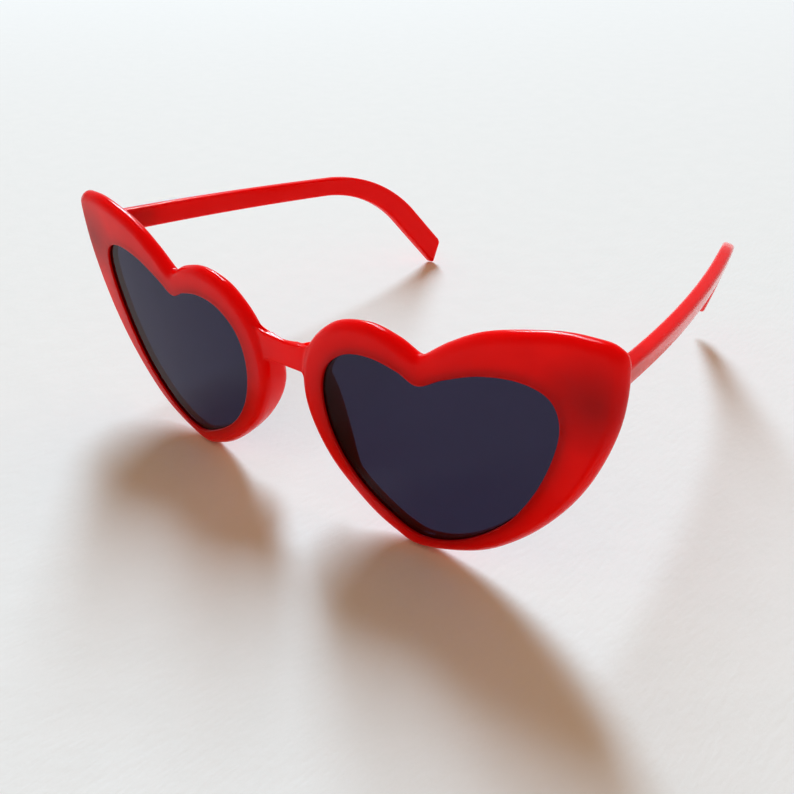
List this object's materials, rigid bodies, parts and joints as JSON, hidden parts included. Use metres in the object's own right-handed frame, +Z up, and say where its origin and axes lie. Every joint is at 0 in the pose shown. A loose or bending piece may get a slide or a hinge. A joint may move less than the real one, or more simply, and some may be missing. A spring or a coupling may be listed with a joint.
{
  "type": "heart shaped sunglasses",
  "caption": "One-piece moulded front with winged heart openings and smoke lenses, and drooping temples that fold inwards on small metal barrel hinges.",
  "frame": {"origin": "middle of the underside of the nose bridge, half way through its thickness", "axes": "+X to the right as seen from the front of the glasses, +Y back along the temples, +Z up off the table that they rest on"},
  "size_m": [0.15, 0.1276, 0.0585],
  "materials": {
    "red_plastic": "injection moulded, polished, slightly translucent",
    "smoke_lens": "smoke tinted plastic lens, polished",
    "hinge_steel": "nickel plated stamped steel"
  },
  "bodies": {
    "front": {"front_frame": "red_plastic", "lens_left": "smoke_lens", "lens_right": "smoke_lens", "front_hinge_left": "hinge_steel", "front_hinge_right": "hinge_steel", "hinge_screw_left": "hinge_steel", "hinge_screw_right": "hinge_steel"},
    "left_temple": {"temple_left": "red_plastic", "temple_hinge_left": "hinge_steel"},
    "right_temple": {"temple_right": "red_plastic", "temple_hinge_right": "hinge_steel"}
  },
  "joints": [
    {"name": "left_temple_fold", "type": "hinge", "parent": "front", "child": "left_temple", "pos_m": [-0.0664, 0.0102, 0.01495], "axis": [0, 0, -1], "range_deg": [0, 84]},
    {"name": "right_temple_fold", "type": "hinge", "parent": "front", "child": "right_temple", "pos_m": [0.0664, 0.0102, 0.01495], "axis": [0, 0, 1], "range_deg": [0, 76]}
  ]
}
